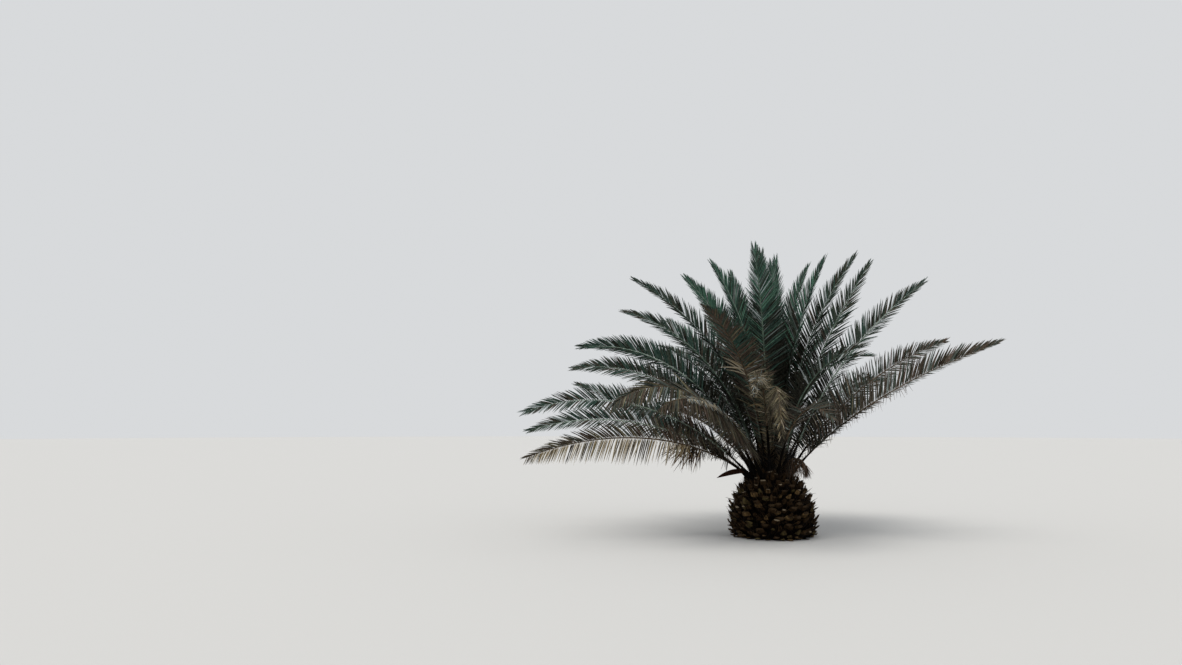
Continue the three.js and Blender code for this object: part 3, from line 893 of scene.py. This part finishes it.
leafBase = dict(
    round=24, rows=14, rowTurn=0.22, lift=0.020,
    # rows past the neck, how far each steps in and up, and how many bases fewer it has
    domeRows=4, domeStep=0.030, domeFewer=3,
    goneShare=0.07,
    # share of freshly cut ends low on the trunk and at the neck, share of torn ones
    cutLow=0.07, cutHigh=0.22, tornShare=0.45,
    footTilt=30, neckTilt=64, tiltPower=1.5,
    tiltJitter=14, turnJitter=0.045, leanJitter=0.16, reachJitter=0.007, heightJitter=0.015,
    length=0.150, width=0.112, depth=0.056, lengthSpread=(0.85, 1.15), sizeSpread=(0.62, 1.28),
    # the rings along a stub, the dark ones of painted shade first, how fast it thins between them, and how
    # its end draws in
    shares=[0.0, 0.35, 0.7, 0.93, 1.0], darkRings=3,
    widthPower=1.15, depthPower=0.9, endWidth=0.90, endDepth=0.84,
    corners=12, stubWobble=0.08, ringWobble=0.04, flatShare=0.35, bellyShare=0.65,
    lowestStart=0.012, lowestRing=0.004,
    # from this level up the tones are darker, by this share
    duskLevel=0.85, duskShare=0.6,
    # how far the point in the middle of an end stands out
    tornPoint=0.026, flatPoint=-0.004,
)

# width and depth of the end, how far it stands beyond the profile at least and at most, by kind of end
baseEnds = dict(
    cut=(0.072, 0.028, -0.012, 0.010),
    torn=(0.036, 0.016, 0.006, 0.040),
    weathered=(0.084, 0.036, -0.024, 0.004),
)

# from which draw and up to which, then dark, light and dust colour
baseTones = dict(
    dark=(0.0, 0.62, "#120c07", "#3b2e20", "#665642"),
    tan=(0.62, 0.82, "#2c2013", "#6b573c", "#93805f"),
    olive=(0.82, 1.01, "#211b11", "#564c33", "#82765a"),
)

# a thin slab lies on these ends: kind of end, dark and light colour
endSlabs = dict(
    cut_ends=("cut", "#4a3e2f", "#9a8d78"),
    weathered_ends=("weathered", "#1f170e", "#463828"),
)
slab = dict(share=0.93, thickness=0.003, middle=0.004)

splinter = dict(each=3, stray=0.22, radius=(0.0020, 0.0060), length=(0.012, 0.036), corners=3)


cutLook = dict(
    roughness=0.8, specular=0.1, noise=(260.0, 2.0), ends=(0.35, 0.65),
    reliefNoise=(300.0, 2.0), relief=0.002,
)


def cutFinish(name, dark, light):
    # fine specks of two colours, slightly rough
    finish, specks = mottled(name, cutLook, linear(dark), linear(light))
    finish.feed("Base Color", specks)
    finish.relief(finish.noise(*cutLook["reliefNoise"]), cutLook["relief"])
    return finish


def baseFacts(draw):
    # direction, height, radius, level from foot to neck and kind of end of each base; every other row is
    # half a place on, and each is turned a little more than the one below
    rule = leafBase
    facts = []
    for row in range(rule["rows"] + rule["domeRows"]):
        level = row / rule["rows"]
        past = max(0, row - rule["rows"])
        z = trunk["neckHeight"] * min(level, 1) + rule["domeStep"] * past
        r = float(profileRadius(z)) - rule["domeStep"] * past
        number = rule["round"] - rule["domeFewer"] * past
        half = 0.5 * (row % 2)
        shift = rule["rowTurn"] * row / (2 * rule["round"])
        facts += [(2 * math.pi * ((place + half) / number + shift), z, r, level) for place in range(number)]
    facts = np.array(facts)
    turn, z, r, level = facts[draw.random(len(facts)) > rule["goneShare"]].T
    chance = draw.random(len(z))
    cutShare = mix(rule["cutLow"], rule["cutHigh"], clamp(level))
    notCut = np.where(chance < cutShare + rule["tornShare"], "torn", "weathered")
    return turn, z, r, level, np.where(chance < cutShare, "cut", notCut)


def leafBases(draw):
    # stubs of old leaf stalks: a flat-topped round-bellied section carried out and up, thinner to its end
    rule = leafBase
    turn, z, r, level, kind = baseFacts(draw)
    count = len(z)
    ends = np.array([baseEnds[name] for name in kind])
    turn = turn + draw.normal(0, rule["turnJitter"], count)
    tilt = mix(rule["footTilt"], rule["neckTilt"], clamp(level) ** rule["tiltPower"])
    tilt = np.radians(tilt + draw.normal(0, rule["tiltJitter"], count))
    lean = draw.normal(0, rule["leanJitter"], count)
    radial, tangent = outAndAside(turn)
    heading = radial * np.cos(tilt)[:, None] + up * np.sin(tilt)[:, None]
    heading = unit(heading + tangent * lean[:, None])
    tangent = unit(tangent - (tangent * heading).sum(-1, keepdims=True) * heading)
    over = np.cross(heading, tangent)
    reach = draw.uniform(ends[:, 2], ends[:, 3]) + draw.normal(0, rule["reachJitter"], count)
    end = radial * (r + reach)[:, None]
    end[:, 2] = z + rule["lift"] + draw.normal(0, rule["heightJitter"], count)
    length = (rule["length"] + np.maximum(reach, 0)) * draw.uniform(*rule["lengthSpread"], count)
    start = end - heading * length[:, None]
    start[:, 2] = np.maximum(start[:, 2], rule["lowestStart"])
    share = np.array(rule["shares"])
    size = draw.uniform(*rule["sizeSpread"], count)[:, None]
    width = mix(rule["width"] * size, ends[:, :1] * size, share ** rule["widthPower"])
    depth = mix(rule["depth"] * size, ends[:, 1:2] * size, share ** rule["depthPower"])
    width[:, -1] *= rule["endWidth"]
    depth[:, -1] *= rule["endDepth"]
    corner = evenTurn(rule["corners"])
    wobble = 1 + draw.normal(0, rule["stubWobble"], (count, 1, len(corner)))
    wobble = wobble + draw.normal(0, rule["ringWobble"], (count, len(share), len(corner)))
    across = 0.5 * width[:, :, None] * np.cos(corner) * wobble
    half = np.where(np.sin(corner) > 0, rule["flatShare"], rule["bellyShare"])
    above = depth[:, :, None] * half * np.sin(corner) * wobble
    line = start[:, None] + (end - start)[:, None] * share[None, :, None]
    rings = carried(line, tangent[:, None], over[:, None], across, above)
    rings[..., 2] = np.maximum(rings[..., 2], rule["lowestRing"])
    return rings, line, heading, kind, level


def splinters(rings, heading, kind, draw):
    # torn fibre ends that stand on from the torn and weathered leaf bases
    torn = kind != "cut"
    each = splinter["each"]
    corner = draw.integers(0, rings.shape[2], (int(torn.sum()), each))
    foot = np.take_along_axis(rings[torn, -2], corner[..., None], axis=1).reshape(-1, 3)
    count = len(foot)
    ahead = unit(np.repeat(heading[torn], each, axis=0) + draw.normal(0, splinter["stray"], (count, 3)))
    radius, length = draw.uniform(*splinter["radius"], count), draw.uniform(*splinter["length"], count)
    return cones(foot, ahead, radius, length, splinter["corners"])


def buildBases(draw):
    # stubs in three tones over roots darkened as painted shade, slabs on cut and weathered ends, splinters on
    # all but the cut ones
    rings, line, heading, kind, level = leafBases(draw)
    point = np.where(kind == "torn", leafBase["tornPoint"], leafBase["flatPoint"])
    endPoint = line[:, -1] + heading * point[:, None]
    tint = draw.random(len(kind)) * np.where(level > leafBase["duskLevel"], leafBase["duskShare"], 1.0)
    neck = leafBase["darkRings"] - 1
    for tone, (low, high, *codes) in baseTones.items():
        chosen = (tint >= low) & (tint < high)
        stubs = closedTubes(rings[chosen, neck:], line[chosen, neck], endPoint[chosen])
        piece = makePiece("leaf_bases_" + tone, [stubs], barkFinish("leafBase" + tone.capitalize(), *codes))
        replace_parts(piece, "trunk")
    # the inner rings near the trunk, near-black as painted shade
    roots = closedTubes(rings[:, :neck + 1], line[:, 0], line[:, neck])
    finish = barkFinish("baseRootShade", "#060403", "#140d08", "#1c140d")
    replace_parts(makePiece("leaf_base_shaded_roots", [roots], finish), "trunk")
    for name, (endKind, *codes) in endSlabs.items():
        chosen = kind == endKind
        centre = rings[chosen, -1].mean(1, keepdims=True)
        outer = centre + (rings[chosen, -1] - centre) * slab["share"]
        layers = np.stack([outer, outer + heading[chosen][:, None] * slab["thickness"]], 1)
        slabs = closedTubes(layers, centre[:, 0], centre[:, 0] + heading[chosen] * slab["middle"])
        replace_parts(makePiece(name, [slabs], cutFinish(name, *codes)), "trunk")
    finish = ribFinish("splinterBrown", "#4f3d28", "#191209")
    makePiece("base_splinters", [splinters(rings, heading, kind, draw)], finish)


# fibre and spikes between the leaf bases, and the near-black heart of the crown, painted shade

barkFibre = dict(
    count=2600, low=0.02, past=0.06, sunk=(0.01, 0.05), out=(0.1, 0.6),
    slope=0.7, rise=0.8, bend=0.25, length=(0.03, 0.085), radius=(0.0008, 0.0018),
)

# heights round the neck and the radius at each
neckFibre = dict(
    count=1400, heights=[0.66, 0.78, 0.98], radii=[0.27, 0.27, 0.30], inner=(0.55, 1.0),
    out=0.25, slope=0.55, rise=1.0, bend=0.22, length=(0.06, 0.16), radius=(0.0010, 0.0022),
)

# shares of the length and how thick a fibre is there, and a direction that none of them follows
strand = dict(
    levels=[0.0, 0.4, 0.75], thickness=[1.0, 0.9, 0.6], corners=3, helper=[0.31, 0.22, 0.92],
)

spike = dict(
    count=80, heights=(0.10, 0.62), sunk=0.05, stray=0.25, rise=0.5, radius=(0.004, 0.010),
    length=(0.08, 0.16),
)

shadedHeart = dict(
    low=0.66, high=1.16, cap=0.05, foot=0.235, top=0.10, taper=0.8, corners=72,
    levels=30, waves=6, ridges=16, moreRidges=5, waveDepth=0.006, waveTwist=9,
)


def strands(rule, turn, z, r, slope, out, draw):
    # fibres that head out, aside by the slope and up: start + heading * length * v + bend * length * v * v
    count = len(turn)
    radial, tangent = outAndAside(turn)
    start = radial * r[:, None]
    start[:, 2] = z
    heading = unit(radial * out + tangent * slope[:, None] + rule["rise"] * up)
    bend = draw.normal(0, rule["bend"], (count, 3))
    length, radius = draw.uniform(*rule["length"], count), draw.uniform(*rule["radius"], count)
    v = np.array(strand["levels"])[None, :, None]
    step = length[:, None, None]
    centre = start[:, None] + heading[:, None] * step * v + bend[:, None] * step * v * v
    ahead = unit(heading[:, None] + 2 * bend[:, None] * v)
    across = unit(np.cross(ahead, strand["helper"]))
    ring = circleRound(across, np.cross(ahead, across), strand["corners"])
    thick = radius[:, None, None, None] * np.array(strand["thickness"])[None, :, None, None]
    return closedTubes(centre[:, :, None] + ring * thick, start, start + (heading + bend) * length[:, None])


def growBarkFibre(draw):
    # loose fibre that comes out between the leaf bases
    rule, count = barkFibre, barkFibre["count"]
    turn = draw.uniform(0, 2 * math.pi, count)
    z = draw.uniform(rule["low"], trunk["neckHeight"] + rule["past"], count)
    r = profileRadius(z) - draw.uniform(*rule["sunk"], count)
    slope = draw.normal(0, rule["slope"], count)
    return strands(rule, turn, z, r, slope, draw.uniform(*rule["out"], count)[:, None], draw)


def growNeckFibre(draw):
    # fibre that wraps the foot of the crown, brown fibre made near-black as painted shade
    rule, count = neckFibre, neckFibre["count"]
    turn = draw.uniform(0, 2 * math.pi, count)
    z = draw.uniform(rule["heights"][0], rule["heights"][-1], count)
    r = np.interp(z, rule["heights"], rule["radii"]) * draw.uniform(*rule["inner"], count)
    return strands(rule, turn, z, r, draw.normal(0, rule["slope"], count), rule["out"], draw)


def growSpikes(draw):
    # single stiff ends of old stalks that stand out between the bases
    count = spike["count"]
    turn = draw.uniform(0, 2 * math.pi, count)
    z = draw.uniform(*spike["heights"], count)
    radial = outAndAside(turn)[0]
    base = radial * (profileRadius(z) - spike["sunk"])[:, None]
    base[:, 2] = z
    heading = unit(radial + draw.normal(0, spike["stray"], (count, 3)) + spike["rise"] * up)
    return cones(base, heading, draw.uniform(*spike["radius"], count), draw.uniform(*spike["length"], count))


def heartSurface(draw):
    # near-black as painted shade over matted fibre between the stalks: a narrowing ridged column, closed by a
    # low dome
    heart = shadedHeart
    height = np.linspace(heart["low"], heart["high"], heart["levels"])[:, None]
    turn = evenTurn(heart["corners"])
    share = (height - heart["low"]) / (heart["high"] - heart["low"])
    radius = mix(heart["foot"], heart["top"], share ** heart["taper"]) * np.ones(len(turn))
    for k in range(heart["waves"]):
        ridges = heart["ridges"] + heart["moreRidges"] * k
        phase = draw.uniform(0, 2 * math.pi)
        radius += heart["waveDepth"] * np.sin(ridges * turn + heart["waveTwist"] * share + phase)
    low, high = np.array([[0, 0, heart["low"]]]), np.array([[0, 0, heart["high"] + heart["cap"]]])
    return closedTubes(turnedRings(radius, height, turn), low, high)


def buildFibre(draw):
    # what fills the gaps and stands for no body of its own
    makePiece("bark_fibre", [growBarkFibre(draw)], ribFinish("fibreTan", "#3f3120", "#120c07"))
    # the neck fibre is near-black: brown fibre with painted shade
    makePiece("neck_fibre", [growNeckFibre(draw)], ribFinish("fibreShaded", "#130e09", "#060403"))
    makePiece("stray_spikes", [growSpikes(draw)], ribFinish("spikeBrown", "#3b2e1f", "#171009"))
    # the heart is near-black, painted shade among the feet of the stalks
    heart = barkFinish("shadedHeart", "#030302", "#0b0806", "#100c08")
    makePiece("crown_heart_shade", [heartSurface(draw)], heart, smooth=True)
    print("trunk built")


# old flower sheath at the neck

flowerSheath = describe("sheath", 196, 60, 0.52, 84, 0.45, -90, 0, 0.4, "brown", node="flower_sheath")
sheath = dict(
    stations=26, corners=12, stalkWidth=0.016, bodyWidth=0.046, bodyFrom=0.2, fullness=0.8,
    thickness=0.34, hollow=0.30, point=0.03,
)


def sheathBlade(frond):
    # a hollowed lens, widest in its middle, carried along its own bent line
    s = np.linspace(0.0, 1.0, sheath["stations"])
    along, side, over = ribFrames(frond, s)
    swell = np.sin(np.pi * clamp((s - sheath["bodyFrom"]) / (1 - sheath["bodyFrom"]))) ** sheath["fullness"]
    half = 0.5 * (sheath["stalkWidth"] + sheath["bodyWidth"] * swell)[:, None]
    turn = evenTurn(sheath["corners"])
    across = half * np.cos(turn)
    above = half * sheath["thickness"] * np.sin(turn) + sheath["hollow"] * half * np.cos(turn) ** 2
    line = ribLine(frond, s)
    rings = carried(line, side, over, across, above)
    return closedTubes(rings[None], line[:1], line[-1:] + along[-1:] * sheath["point"])


def buildSheath():
    # one smooth piece
    finish = barkFinish("flowerSheath", "#170e08", "#35221a", "#4d3a2b")
    piece = makePiece("flower_sheath_blade", [sheathBlade(flowerSheath)], finish, smooth=True)
    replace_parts(piece, "flower_sheath")
    print("flower sheath built")


# building: every random draw comes from one seeded source, in this order

seed = 11
dice = np.random.default_rng(seed)
buildLeaflets(dice)
buildStalks(dice)
buildCore(dice)
buildBases(dice)
buildFibre(dice)
buildSheath()
